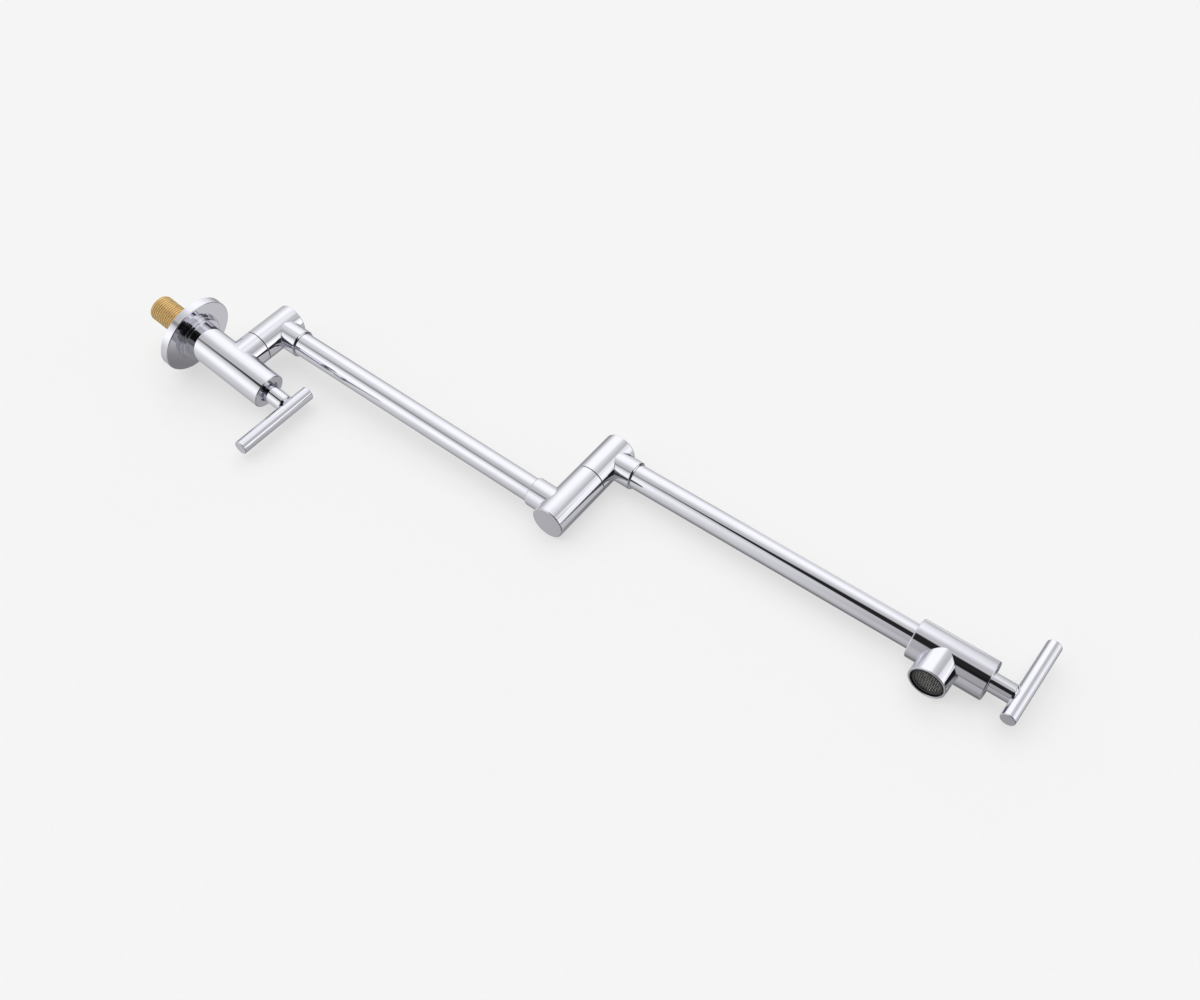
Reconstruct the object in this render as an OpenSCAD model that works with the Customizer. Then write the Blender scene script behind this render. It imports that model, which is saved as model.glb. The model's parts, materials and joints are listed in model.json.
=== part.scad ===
// Wall mounted pot filler with two folding arms, two quarter turn valves and an aerated spout.
// The origin is on the inlet axis, in the plane of the wall. +Z is up, and the arms reach towards -Y.

/* [Wall fitting] */
// Outside diameter of the inlet thread, a half inch pipe size
thread_d = 21.2; // [20.6:0.1:22]
// Reach of the inlet thread behind the wall face
thread_reach = 34.7; // [24:0.1:60]
// Distance from one thread crest to the next
thread_pitch = 1.814; // [1.2:0.001:2.4]
// Depth of the thread grooves
thread_depth = 0.9; // [0.4:0.05:1.1]
// Diameter of the water way through the nipple
inlet_bore_d = 13; // [8:0.5:15]
// Diameter of the nipple's shank inside the valve body
shank_d = 19; // [17:0.1:20]
// How far the shank enters from the wall face
shank_reach = 22; // [14:0.5:26]
// Diameter of the round wall flange
flange_d = 63; // [52:0.5:80]
// Height of the flange off the wall
flange_h = 6.7; // [5:0.1:12]
// Thickness of the flange's front wall
flange_wall = 2.5; // [1.5:0.1:3.5]
// Width of the flange's rim on the wall
flange_rim = 6; // [4:0.1:8]
// Width of the gasket in the flange's rim
gasket_w = 3.4; // [1.5:0.1:3.8]
// Thickness of the gasket
gasket_t = 1.2; // [0.6:0.1:2]
// Diameter of the collar's wide step
collar_d = 39.2; // [36:0.1:44]
// Diameter of the collar's narrow step
collar_step_d = 36.8; // [33:0.1:39]
// Height of the collar's wide step
collar_low_h = 2.3; // [1:0.1:4]
// Height of the whole collar
collar_h = 4.8; // [3.5:0.1:8]

/* [Valve body] */
// Outside diameter of the valve body and of the spout body
body_d = 29.2; // [27.5:0.1:34]
// Distance from the wall to the valve body's front face
body_reach = 82.5; // [80:0.1:100]
// Diameter of the threaded tail behind the collar
tail_d = 24.8; // [23:0.1:26]
// Gap between the wall and the end of the tail
tail_start = 2; // [1:0.1:3]
// Diameter of the water chamber behind the valve seat
chamber_d = 14; // [10:0.5:16]
// Chamfer on the outer edges of the bodies
body_edge = 0.7; // [0.2:0.1:1]
// Chamfer on thin rims and caps
rim_edge = 0.3; // [0.1:0.1:0.5]

/* [Swivel joints] */
// Distance from the wall to the first swivel axis
swivel_reach = 45.7; // [42:0.1:52]
// Outside diameter of the swivel joints
swivel_d = 26.4; // [25.5:0.1:30]
// Height of the first seam above the inlet axis
seam_z = 24.6; // [23:0.1:34]
// Height of an arm's axis above the seam of its joint
arm_rise = 24.2; // [23.8:0.1:34]
// Height of a joint's top above the axis of its arm
head_rise = 14.7; // [13.5:0.1:20]
// Height of the second seam above the first arm's axis
mid_rise = 33.2; // [28:0.1:50]
// Depth of the middle joint's bottom below the first arm's axis
mid_drop = 16.8; // [13:0.1:24]
// Thickness of the middle joint's closed bottom
mid_floor = 4; // [2:0.1:5]
// Diameter of the water chamber in the middle joint's lower half
mid_bore_d = 16.6; // [14:0.1:16.8]
// Outside diameter of the brass pivot spigots
spigot_d = 17; // [16.9:0.1:18]
// Diameter of the water way through a spigot
spigot_bore_d = 11; // [8:0.5:12]
// Depth of a spigot in the lower half of its joint
spigot_depth = 14; // [9:0.1:15]
// Height of a spigot above its seam
spigot_rise = 17; // [16.4:0.1:17.5]
// Height of the guiding bore in the upper half
guide_h = 12.5; // [10.5:0.1:13]
// Diameter of the water chamber in the upper half
head_bore_d = 21; // [20.6:0.1:21.6]
// Diameter of the cap that closes the upper half
cap_d = 22; // [21.8:0.1:23]
// Thickness of that cap
cap_t = 3.5; // [2:0.1:5]
// Thickness of the sliding washer in the seam
seam_washer_t = 0.5; // [0.3:0.1:1]
// How far the sliding washer stays inside the joint's outer face
seam_washer_inset = 0.5; // [0.3:0.1:1.5]
// Thickness of the thrust washer
thrust_washer_t = 1; // [0.6:0.1:1.4]
// Outside diameter of the thrust washer
thrust_washer_d = 20.4; // [19.4:0.1:20.5]
// Thickness of the retaining clip
clip_t = 1; // [0.6:0.1:1.2]
// Outside diameter of the retaining clip
clip_d = 20; // [19:0.1:20.4]
// Depth of the clip's groove in the spigot
clip_groove = 0.8; // [0.4:0.1:1.2]
// Width of the retaining clip's mouth
clip_mouth = 6; // [3:0.5:9]
// Distance from the seam to the first seal ring
swivel_ring_z = 3.6; // [3:0.1:4.2]
// Distance between the two seal rings on a spigot
swivel_ring_step = 4.4; // [3:0.1:5]

/* [Arms] */
// Distance between the first and the second swivel axis
arm_1_span = 282; // [160:1:400]
// Distance from the second swivel axis to the spout's axis
arm_2_span = 279.2; // [160:0.1:400]
// Turn of the first arm from straight out of the wall, in degrees
arm_1_turn = -8.8; // [-80:0.1:80]
// Turn of the second arm from the line of the first, in degrees
arm_2_turn = -2.3; // [-120:0.1:120]
// Outside diameter of the arm tubes
tube_d = 19; // [18.4:0.1:19.4]
// Wall of the arm tubes
tube_wall = 1.4; // [0.8:0.1:2]
// Outside diameter of the sockets that hold the tubes
socket_d = 22.3; // [22:0.1:24]
// Distance from a swivel axis to the end of its socket
socket_reach = 25.7; // [24:0.1:34]
// Depth of a tube in its socket
socket_depth = 12; // [9:0.1:12.4]
// Diameter of the passage from a socket to its joint
passage_d = 15; // [12:0.1:15.6]
// Chamfer on the mouths of the sockets
socket_edge = 1.2; // [0.3:0.1:1.3]
// Distance from a socket's mouth to the seal ring inside it
tube_ring_in = 5; // [3:0.1:6]

/* [Spout] */
// Distance from the spout's axis to the front face of its body
spout_front = 33.2; // [32.9:0.1:44]
// Distance from the spout's axis to the back face of its body
spout_back = 23.3; // [22:0.1:34]
// Outside diameter of the nozzle
nozzle_d = 27.8; // [27.4:0.1:28.8]
// Distance from the arm's axis down to the nozzle's rim
nozzle_drop = 27.2; // [26:0.1:36]
// Diameter of the nozzle's mouth
mouth_d = 24.6; // [24.2:0.1:25.4]
// Depth of the mouth above the nozzle's rim
mouth_depth = 13.6; // [12.6:0.1:14.5]
// Diameter of the water way above the mouth
outlet_d = 14; // [10:0.1:15]
// How far the aerator sits above the nozzle's rim
aerator_inset = 0.9; // [0.5:0.1:2]
// Diameter of the aerator's lower lip
aerator_lip_d = 21.8; // [21.4:0.1:23]
// Height of that lip
aerator_lip_h = 2.4; // [1.6:0.1:3.4]
// Diameter of the aerator's bore
aerator_bore_d = 20.4; // [19.4:0.1:20.6]
// Width of the ledge that carries the screen
aerator_ledge = 0.7; // [0.3:0.1:1.5]
// Thickness of that ledge
aerator_ledge_t = 0.5; // [0.3:0.1:1]
// Thickness of the aerator's washer
aerator_washer_t = 1.6; // [1:0.1:1.7]
// Thickness of the aerator's screen
screen_t = 0.5; // [0.3:0.1:1]
// Distance from one mesh opening to the next
mesh_pitch = 1.9; // [1.6:0.1:3]
// Width of a mesh opening
mesh_gap = 1.3; // [0.8:0.1:1.4]
// Width of the screen's solid edge
screen_edge = 1.1; // [0.6:0.1:2]
// Height of the flow straightener
straightener_h = 6; // [3:0.1:7]
// Diameter of a hole in the flow straightener
straightener_hole_d = 2.4; // [1:0.1:2.6]

/* [Valve cartridges] */
// Diameter of the recess round the handle's neck
recess_d = 17.3; // [16.8:0.1:18]
// Depth of that recess
recess_depth = 3.6; // [2.6:0.1:5]
// Diameter of the cartridge's head
head_d = 17; // [16.5:0.1:17.2]
// How far the cartridge's head sits behind the front face
head_inset = 1.2; // [1:0.1:1.6]
// Diameter of the cartridge's threaded part
cartridge_d = 15.6; // [15.2:0.1:15.8]
// Length of the cartridge's threaded part below the recess
cartridge_thread_h = 12; // [8:0.1:16]
// Diameter of the cartridge's skirt
skirt_d = 14.2; // [13.8:0.1:14.6]
// Distance from the front face to the valve seat
seat_depth = 43; // [41:0.1:45]
// Thickness of the seat's wall
seat_wall = 2.5; // [1.5:0.1:3]
// Diameter of the port through the seat
port_d = 9; // [6:0.1:10]
// Outside diameter of the ceramic discs
disc_d = 12.3; // [11.5:0.1:12.3]
// Thickness of a ceramic disc
disc_t = 2.9; // [2:0.1:3.5]
// Diameter of a port through a ceramic disc
disc_port_d = 3; // [1.5:0.1:3.6]
// Distance of those ports from the disc's centre
disc_port_out = 2.8; // [2.2:0.1:3.4]
// Diameter of the chamber that holds the discs
disc_chamber_d = 12.5; // [12.4:0.1:12.7]
// Height of the cartridge's side windows
window_h = 4.4; // [2:0.1:5]
// Width of those windows
window_w = 6; // [3:0.1:8]
// Height of the stem's foot
foot_h = 7.2; // [6:0.1:9]
// Diameter of the stem
stem_d = 7; // [6:0.1:8]
// Diameter of the stem's end in the handle
stem_end_d = 6.4; // [5:0.1:6.8]
// Reach of the stem in front of the body
stem_reach = 10; // [7:0.1:12]
// Thickness of the rubber seal on the seat
seat_seal_t = 1.6; // [0.8:0.1:2]
// Distance from the recess to the cartridge's seal ring
cartridge_ring_in = 2.4; // [1.6:0.1:4]

/* [Handles] */
// Diameter of a handle's neck
neck_d = 14.2; // [12:0.1:16]
// How far the neck starts behind the front face
neck_inset = 0.6; // [0.2:0.1:0.9]
// Distance from the front face to the axis of the bar
bar_reach = 21.4; // [18:0.1:30]
// How far the neck stops short of the bar's axis
neck_short = 3.2; // [2:0.1:5]
// Slope on the neck's end, beside the bar
neck_slope = 2.4; // [0.5:0.1:3]
// Diameter of the bar
bar_d = 11.2; // [9:0.1:13]
// Length of the bar's long end, from the neck's axis
bar_long = 51.4; // [35:0.1:70]
// Length of the bar's short end, from the neck's axis
bar_short = 19.7; // [12:0.1:30]
// Chamfer on the ends of the bar
bar_edge = 0.6; // [0.2:0.1:1.2]
// Diameter of the tenon that joins the neck to the bar
tenon_d = 5; // [3:0.1:6]
// Reach of the tenon past the axis of the bar
tenon_past = 2; // [0.5:0.1:3]
// Diameter of the grub screw
screw_d = 4; // [3:0.1:5]
// Distance from the front face to the grub screw
screw_out = 5.5; // [4:0.1:7]
// Width across the grub screw's socket
screw_socket = 2; // [1.2:0.1:2.4]
// Depth of that socket
screw_socket_depth = 1.6; // [0.8:0.1:2]
// How far the grub screw sits below the neck's surface
screw_sunk = 0.8; // [0.3:0.1:1.2]

/* [Fits] */
// Radial clearance of a turning fit
running_gap = 0.06; // [0.04:0.01:0.1]
// Clearance of a fixed fit
fixed_gap = 0.05; // [0.02:0.01:0.1]
// Thickness of the seal rings on spigots and cartridges
ring_t = 1.25; // [0.9:0.05:1.3]
// Thickness of the seal rings round the tubes
tube_ring_t = 0.8; // [0.5:0.05:1]
// Side play of a seal ring in its groove
ring_play = 0.1; // [0.05:0.05:0.3]

/* [Hidden] */
$fn = 96;

// Overrun of every cut past the face that it opens
cut = 1;
// Shares of one thread pitch that a crest and each flank take, the rest being the root
crest_share = 0.25;
flank_share = 0.25;
// Circles of holes in the flow straightener, as shares of its radius, and the holes in each
straightener_shares = [0.36, 0.72];
straightener_holes = 8;

// Heights of the arms and of the second seam
arm_1_z = seam_z + arm_rise;
seam_2_z = arm_1_z + mid_rise;
arm_2_z = seam_2_z + arm_rise;
head_h = arm_rise + head_rise;
// Height of a joint's upper half above the seam, where its own metal starts
head_z = seam_washer_t + fixed_gap;
// Where the collar and the valve body start, out from the wall
collar_z = flange_h + fixed_gap;
body_z = collar_z + collar_h + fixed_gap;
// Where a tube stops inside a joint's socket, and in the spout, against the back of the seat
tube_stop = socket_reach - socket_depth;
spout_stop = seat_depth + seat_wall - spout_front;
// Places along a cartridge, from the front face backwards
recess_z = -recess_depth;
seat_z = -seat_depth;
thread_z = recess_z - cartridge_thread_h;
fixed_disc_z = seat_z + seat_seal_t + 2 * fixed_gap;
moving_disc_z = fixed_disc_z + disc_t + fixed_gap;
foot_z = moving_disc_z + disc_t + fixed_gap;
foot_top = foot_z + foot_h;
// Radius of the circle that the middle of each seal ring follows
spigot_ring_r = (spigot_d + fixed_gap - ring_t) / 2;
cartridge_ring_r = (cartridge_d - ring_t) / 2;
tube_ring_r = (tube_d + tube_ring_t) / 2 + fixed_gap;
// Height of the side windows above the stem's foot
window_rise = (foot_h - window_h) / 2;
// Height of the aerator housing, from its lip to its washer
aerator_h = mouth_depth - aerator_inset - aerator_washer_t - 2 * fixed_gap;

// Stands children d out along -Y and z up, with their +Z pointing away from the wall
module out(d, z = 0) {
    translate([0, -d, z]) rotate([90, 0, 0]) children();
}

// Frame of the first arm, at the first swivel axis
module on_arm_1() {
    translate([0, -swivel_reach, 0]) rotate([0, 0, arm_1_turn]) children();
}

// Frame of the second arm, at the second swivel axis
module on_arm_2() {
    on_arm_1() translate([0, -arm_1_span, 0]) rotate([0, 0, arm_2_turn]) children();
}

// Seams of the two joints, each turned as the arm that leaves it
module on_seam_1() {
    on_arm_1() translate([0, 0, seam_z]) children();
}

module on_seam_2() {
    on_arm_2() translate([0, 0, seam_2_z]) children();
}

// Front faces of the two valves: +Z out of the body and +Y up
module on_valve_1() {
    out(body_reach) children();
}

module on_valve_2() {
    on_arm_2() out(arm_2_span + spout_front, arm_2_z) children();
}

// A rod from z0 to z1 with chamfers c0 and c1 on its ends
module rod(r, z0, z1, c0 = 0, c1 = 0) {
    rotate_extrude() polygon([
        [0, z0], [r - c0, z0], [r, z0 + c0], [r, z1 - c1], [r - c1, z1], [0, z1]
    ]);
}

// A plain cylinder from z0 to z1
module drum(d, z0, z1) {
    translate([0, 0, z0]) cylinder(d = d, h = z1 - z0);
}

// A flat ring from z0 to z1
module ring(d_out, d_in, z0, z1) {
    difference() {
        drum(d_out, z0, z1);
        drum(d_in, z0 - cut, z1 + cut);
    }
}

// A seal ring of thickness t whose middle follows a circle of radius r at height z
module seal_ring(r, z, t = ring_t) {
    translate([0, 0, z]) rotate_extrude() translate([r, 0]) circle(d = t);
}

// A groove round a rod of diameter d, for a seal ring that follows radius r
module ring_groove(d, r, z) {
    play = ring_t / 2 + ring_play;
    ring(d + 2 * cut, 2 * (r - play), z - play, z + play);
}

// A groove inside a socket, for the seal ring round a tube
module tube_groove(z) {
    play = tube_ring_t / 2 + ring_play;
    drum(2 * (tube_ring_r + play), z - play, z + play);
}

// Wall fitting

// Profile of the thread, from its end to the wall plane, as grooves and crests of equal pitch
function thread_points(r) = [
    for (i = [floor(thread_reach / thread_pitch) - 1 : -1 : 0])
        each [
            [r - thread_depth, -(i + 1 - flank_share) * thread_pitch],
            [r - thread_depth, -(i + crest_share + flank_share) * thread_pitch],
            [r, -(i + crest_share) * thread_pitch],
            [r, -i * thread_pitch]
        ]
];

module inlet_nipple() {
    root_r = thread_d / 2 - thread_depth;
    color("goldenrod") out(0) rotate_extrude() polygon(concat(
        [[inlet_bore_d / 2, -thread_reach], [root_r, -thread_reach]],
        thread_points(thread_d / 2),
        [[shank_d / 2, 0], [shank_d / 2, shank_reach], [inlet_bore_d / 2, shank_reach]]
    ));
}

module wall_gasket() {
    mid_d = flange_d - flange_rim;
    color("dimgray") out(0) ring(mid_d + gasket_w, mid_d - gasket_w, 0, gasket_t);
}

module escutcheon() {
    mid_d = flange_d - flange_rim;
    groove = gasket_w + 2 * fixed_gap;
    color("silver") out(0) difference() {
        rod(flange_d / 2, 0, flange_h, 0, body_edge);
        drum(flange_d - 2 * flange_rim, -cut, flange_h - flange_wall);
        drum(tail_d + 2 * fixed_gap, 0, flange_h + cut);
        ring(mid_d + groove, mid_d - groove, -cut, gasket_t + fixed_gap);
    }
}

module escutcheon_seal() {
    back = flange_h - flange_wall - fixed_gap;
    bore = tail_d + 2 * fixed_gap;
    color("dimgray") out(0) ring(bore + 2 * ring_t, bore, back - ring_t, back);
}

module escutcheon_collar() {
    color("silver") out(collar_z) difference() {
        union() {
            rod(collar_d / 2, 0, collar_low_h, 0, body_edge);
            rod(collar_step_d / 2, 0, collar_h, 0, body_edge);
        }
        drum(tail_d + 2 * fixed_gap, -cut, collar_h + cut);
    }
}

// Bore for a spigot, from a seam at z downwards
module spigot_socket(z) {
    translate([0, 0, z - spigot_depth]) cylinder(d = spigot_d + 2 * fixed_gap, h = spigot_depth + cut);
}

// Everything that is cut out of a body for its valve, seen from the front face
module valve_cavity() {
    drum(recess_d, recess_z, cut);
    drum(cartridge_d + 2 * fixed_gap, seat_z, recess_z + cut);
    drum(port_d, seat_z - seat_wall - cut, seat_z + cut);
}

module valve_body() {
    color("silver") difference() {
        union() {
            out(0) rod(body_d / 2, body_z, body_reach, 0, body_edge);
            out(0) drum(tail_d, tail_start, body_z + cut);
            translate([0, -swivel_reach, 0]) cylinder(d = swivel_d, h = seam_z);
        }
        out(0) drum(shank_d + 2 * fixed_gap, tail_start - cut, shank_reach + fixed_gap);
        out(0) drum(chamber_d, shank_reach, body_reach - seat_depth - seat_wall);
        on_valve_1() valve_cavity();
        translate([0, -swivel_reach, 0]) {
            spigot_socket(seam_z);
            cylinder(d = spigot_bore_d, h = seam_z);
        }
    }
}

// Valve cartridge, drawn from the front face of its body

module cartridge() {
    color("goldenrod") difference() {
        union() {
            rod(head_d / 2, recess_z + fixed_gap, -head_inset, 0, body_edge);
            drum(cartridge_d, thread_z, recess_z + cut);
            drum(skirt_d, fixed_disc_z, thread_z + cut);
        }
        drum(disc_chamber_d, seat_z - cut, foot_top + fixed_gap);
        drum(stem_d + 2 * running_gap, foot_top, cut);
        translate([-skirt_d, -window_w / 2, foot_z + window_rise]) cube([2 * skirt_d, window_w, window_h]);
        ring_groove(cartridge_d, cartridge_ring_r, recess_z - cartridge_ring_in);
    }
}

module cartridge_ring() {
    color("dimgray") seal_ring(cartridge_ring_r, recess_z - cartridge_ring_in);
}

module seat_seal() {
    color("dimgray") ring(disc_d, port_d, seat_z + fixed_gap, seat_z + fixed_gap + seat_seal_t);
}

// A ceramic disc with two ports, at the given turn about its axis
module ceramic_disc(z, turn) {
    rotate([0, 0, turn]) difference() {
        drum(disc_d, z, z + disc_t);
        for (side = [-1, 1])
            translate([side * disc_port_out, 0, 0]) drum(disc_port_d, z - cut, z + disc_t + cut);
    }
}

module fixed_disc() {
    color("white") ceramic_disc(fixed_disc_z, 0);
}

module moving_disc() {
    color("white") ceramic_disc(moving_disc_z, 90);
}

module stem() {
    foot_d = disc_chamber_d - 2 * running_gap;
    end_z = -neck_inset - fixed_gap;
    color("goldenrod") difference() {
        union() {
            drum(foot_d, foot_z, foot_top);
            drum(stem_d, foot_top - cut, end_z);
            rod(stem_end_d / 2, end_z - cut, stem_reach, 0, body_edge);
        }
        translate([-foot_d, -window_w / 2, foot_z - cut])
            cube([2 * foot_d, window_w, window_rise + window_h + cut]);
    }
}

module handle_neck() {
    color("silver") difference() {
        union() {
            difference() {
                rod(neck_d / 2, -neck_inset, bar_reach - neck_short, body_edge, neck_slope);
                translate([0, 0, bar_reach]) rotate([90, 0, 0])
                    drum(bar_d + 2 * fixed_gap, -neck_d, neck_d);
            }
            drum(tenon_d, stem_reach + neck_inset, bar_reach + tenon_past);
        }
        drum(stem_end_d + 2 * fixed_gap, -neck_inset - cut, stem_reach + fixed_gap);
        translate([0, 0, screw_out]) rotate([0, 90, 0]) drum(screw_d + 2 * fixed_gap, 0, neck_d);
    }
}

// The bar, with its long end towards -Y or, for up = 1, towards +Y
module handle_bar(up) {
    color("silver") difference() {
        translate([0, 0, bar_reach]) rotate([up == 1 ? -90 : 90, 0, 0])
            rod(bar_d / 2, -bar_short, bar_long, bar_edge, bar_edge);
        drum(tenon_d + 2 * fixed_gap, 0, bar_reach + tenon_past + fixed_gap);
    }
}

module grub_screw() {
    tip = stem_end_d / 2 + 2 * fixed_gap;
    end = neck_d / 2 - screw_sunk;
    color("dimgray") translate([0, 0, screw_out]) rotate([0, 90, 0]) difference() {
        drum(screw_d, tip, end);
        translate([0, 0, end - screw_socket_depth])
            cylinder(d = screw_socket, h = screw_socket_depth + cut, $fn = 6);
    }
}

// Swivel joints, drawn from the seam

module pivot_spigot() {
    clip_z = guide_h + thrust_washer_t + 2 * fixed_gap;
    color("goldenrod") difference() {
        rod(spigot_d / 2, fixed_gap - spigot_depth, spigot_rise, body_edge, body_edge);
        drum(spigot_bore_d, -spigot_depth - cut, spigot_rise + cut);
        for (i = [0, 1])
            ring_groove(spigot_d, spigot_ring_r, swivel_ring_z + i * swivel_ring_step);
        ring(spigot_d + 2 * cut, spigot_d - 2 * clip_groove, clip_z, clip_z + clip_t + fixed_gap);
    }
}

module pivot_rings() {
    color("dimgray") for (i = [0, 1])
        seal_ring(spigot_ring_r, swivel_ring_z + i * swivel_ring_step);
}

module seam_washer() {
    color("dimgray") ring(swivel_d - 2 * seam_washer_inset, spigot_d + 2 * fixed_gap, 0, seam_washer_t);
}

module thrust_washer() {
    z = guide_h + fixed_gap;
    color("dimgray") ring(thrust_washer_d, spigot_d + 2 * fixed_gap, z, z + thrust_washer_t);
}

module retaining_clip() {
    z = guide_h + thrust_washer_t + 2 * fixed_gap + fixed_gap / 2;
    color("gray") difference() {
        ring(clip_d, spigot_d - 2 * (clip_groove - fixed_gap), z, z + clip_t);
        translate([-clip_mouth / 2, 0, z - cut]) cube([clip_mouth, clip_d, clip_t + 2 * cut]);
    }
}

// The upper half of a joint, with its socket towards -Y
module joint_head() {
    color("silver") difference() {
        union() {
            rod(swivel_d / 2, head_z, head_h, 0, body_edge);
            out(0, arm_rise) rod(socket_d / 2, 0, socket_reach, 0, socket_edge);
        }
        drum(spigot_d + 2 * running_gap, 0, guide_h + cut);
        drum(head_bore_d, guide_h, head_h + cut);
        drum(cap_d, head_h - cap_t, head_h + cut);
        out(0, arm_rise) drum(passage_d, 0, socket_reach);
        out(0, arm_rise) tube_socket(tube_stop, socket_reach);
    }
}

module head_cap() {
    color("silver") rod(cap_d / 2 - fixed_gap, head_h - cap_t + fixed_gap, head_h, 0, rim_edge);
}

// Bore for a tube between its stop and the mouth, with the groove for its seal ring
module tube_socket(stop, mouth) {
    drum(tube_d + 2 * fixed_gap, stop, mouth + cut);
    tube_groove(mouth - tube_ring_in);
}

// Arms

module middle_joint_lower() {
    color("silver") translate([0, -arm_1_span, 0]) difference() {
        union() {
            rod(swivel_d / 2, arm_1_z - mid_drop, seam_2_z, body_edge, 0);
            rotate([0, 0, 180]) out(0, arm_1_z) rod(socket_d / 2, 0, socket_reach, 0, socket_edge);
        }
        spigot_socket(seam_2_z);
        drum(mid_bore_d, arm_1_z - mid_drop + mid_floor, seam_2_z);
        rotate([0, 0, 180]) out(0, arm_1_z) {
            drum(passage_d, 0, socket_reach);
            tube_socket(tube_stop, socket_reach);
        }
    }
}

module arm_tube(z, end) {
    color("silver") out(0, z) ring(tube_d, tube_d - 2 * tube_wall, tube_stop + fixed_gap, end - fixed_gap);
}

// One seal ring in each of the two sockets of an arm
module tube_rings(z, far_mouth) {
    color("dimgray") {
        out(0, z) seal_ring(tube_ring_r, socket_reach - tube_ring_in, tube_ring_t);
        out(0, z) seal_ring(tube_ring_r, far_mouth + tube_ring_in, tube_ring_t);
    }
}

// Spout

// Stands children on the spout's axis, with z counted up from the nozzle's rim
module on_nozzle() {
    translate([0, -arm_2_span, arm_2_z - nozzle_drop]) children();
}

module spout_body() {
    back = arm_2_span - spout_back;
    front = arm_2_span + spout_front;
    color("silver") difference() {
        union() {
            out(0, arm_2_z) rod(body_d / 2, back, front, body_edge, body_edge);
            on_nozzle() rod(nozzle_d / 2, 0, nozzle_drop, rim_edge, 0);
        }
        out(0, arm_2_z) {
            drum(tube_d + 2 * fixed_gap, back - cut, arm_2_span - spout_stop);
            tube_groove(back + tube_ring_in);
        }
        out(front, arm_2_z) valve_cavity();
        on_nozzle() drum(mouth_d, -cut, mouth_depth);
        on_nozzle() drum(outlet_d, 0, nozzle_drop);
    }
}

// Aerator, from its lower lip upwards
module aerator_housing() {
    lip = aerator_inset;
    color("dimgray") difference() {
        union() {
            drum(aerator_lip_d, lip, lip + aerator_lip_h + cut);
            rod(mouth_d / 2 - fixed_gap, lip + aerator_lip_h, lip + aerator_h, rim_edge, rim_edge);
        }
        drum(aerator_bore_d, lip + aerator_ledge_t, lip + aerator_h + cut);
        drum(aerator_bore_d - 2 * aerator_ledge, lip - cut, lip + aerator_h);
    }
}

module aerator_washer() {
    top = mouth_depth - fixed_gap;
    color("dimgray") ring(mouth_d - 4 * fixed_gap, outlet_d, top - aerator_washer_t, top);
}

module aerator_screen() {
    r = aerator_bore_d / 2 - fixed_gap;
    n = floor(r / mesh_pitch);
    z = aerator_inset + aerator_ledge_t + fixed_gap;
    color("gray") translate([0, 0, z]) linear_extrude(height = screen_t) difference() {
        circle(r = r);
        for (i = [-n : n], j = [-n : n])
            let (x = i * mesh_pitch, y = j * mesh_pitch)
                if (norm([abs(x) + mesh_gap / 2, abs(y) + mesh_gap / 2]) < r - screen_edge)
                    translate([x, y]) square(mesh_gap, center = true);
    }
}

// A plastic plug whose rings of holes calm the water ahead of the screen
module flow_straightener() {
    z = aerator_inset + aerator_ledge_t + screen_t + 2 * fixed_gap;
    r = aerator_bore_d / 2 - fixed_gap;
    color("whitesmoke") difference() {
        drum(2 * r, z, z + straightener_h);
        for (share = straightener_shares, i = [1 : straightener_holes])
            rotate([0, 0, i * 360 / straightener_holes]) translate([r * share, 0, 0])
                drum(straightener_hole_d, z - cut, z + straightener_h + cut);
    }
}

inlet_nipple();
wall_gasket();
escutcheon();
escutcheon_seal();
escutcheon_collar();
valve_body();
on_valve_1() cartridge();  // cartridge_1
on_valve_1() cartridge_ring();  // cartridge_ring_1
on_valve_1() fixed_disc();  // fixed_disc_1
on_valve_1() seat_seal();  // seat_seal_1
on_valve_1() stem();  // stem_1
on_valve_1() moving_disc();  // moving_disc_1
on_valve_1() handle_neck();  // handle_neck_1
on_valve_1() handle_bar(0);  // handle_bar_1
on_valve_1() grub_screw();  // grub_screw_1
on_seam_1() pivot_spigot();  // pivot_spigot_1
on_seam_1() pivot_rings();  // pivot_rings_1
on_seam_1() seam_washer();  // seam_washer_1
on_seam_1() thrust_washer();  // thrust_washer_1
on_seam_1() retaining_clip();  // retaining_clip_1
on_seam_1() joint_head();  // elbow_head_1
on_seam_1() head_cap();  // head_cap_1
on_arm_1() arm_tube(arm_1_z, arm_1_span - tube_stop);  // arm_tube_1
on_arm_1() tube_rings(arm_1_z, arm_1_span - socket_reach);  // tube_rings_1
on_arm_1() middle_joint_lower();
on_seam_2() pivot_spigot();  // pivot_spigot_2
on_seam_2() pivot_rings();  // pivot_rings_2
on_seam_2() seam_washer();  // seam_washer_2
on_seam_2() thrust_washer();  // thrust_washer_2
on_seam_2() retaining_clip();  // retaining_clip_2
on_seam_2() joint_head();  // middle_joint_upper
on_seam_2() head_cap();  // head_cap_2
on_arm_2() arm_tube(arm_2_z, arm_2_span - spout_stop);  // arm_tube_2
on_arm_2() tube_rings(arm_2_z, arm_2_span - spout_back);  // tube_rings_2
on_arm_2() spout_body();
on_arm_2() on_nozzle() aerator_housing();
on_arm_2() on_nozzle() aerator_washer();
on_arm_2() on_nozzle() aerator_screen();
on_arm_2() on_nozzle() flow_straightener();
on_valve_2() cartridge();  // cartridge_2
on_valve_2() cartridge_ring();  // cartridge_ring_2
on_valve_2() fixed_disc();  // fixed_disc_2
on_valve_2() seat_seal();  // seat_seal_2
on_valve_2() stem();  // stem_2
on_valve_2() moving_disc();  // moving_disc_2
on_valve_2() handle_neck();  // handle_neck_2
on_valve_2() handle_bar(1);  // handle_bar_2
on_valve_2() grub_screw();  // grub_screw_2
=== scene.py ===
"""Looks of the wall mounted pot filler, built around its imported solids."""
import json
import math

import bpy
import numpy as np
from mathutils import Matrix, Vector


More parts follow.
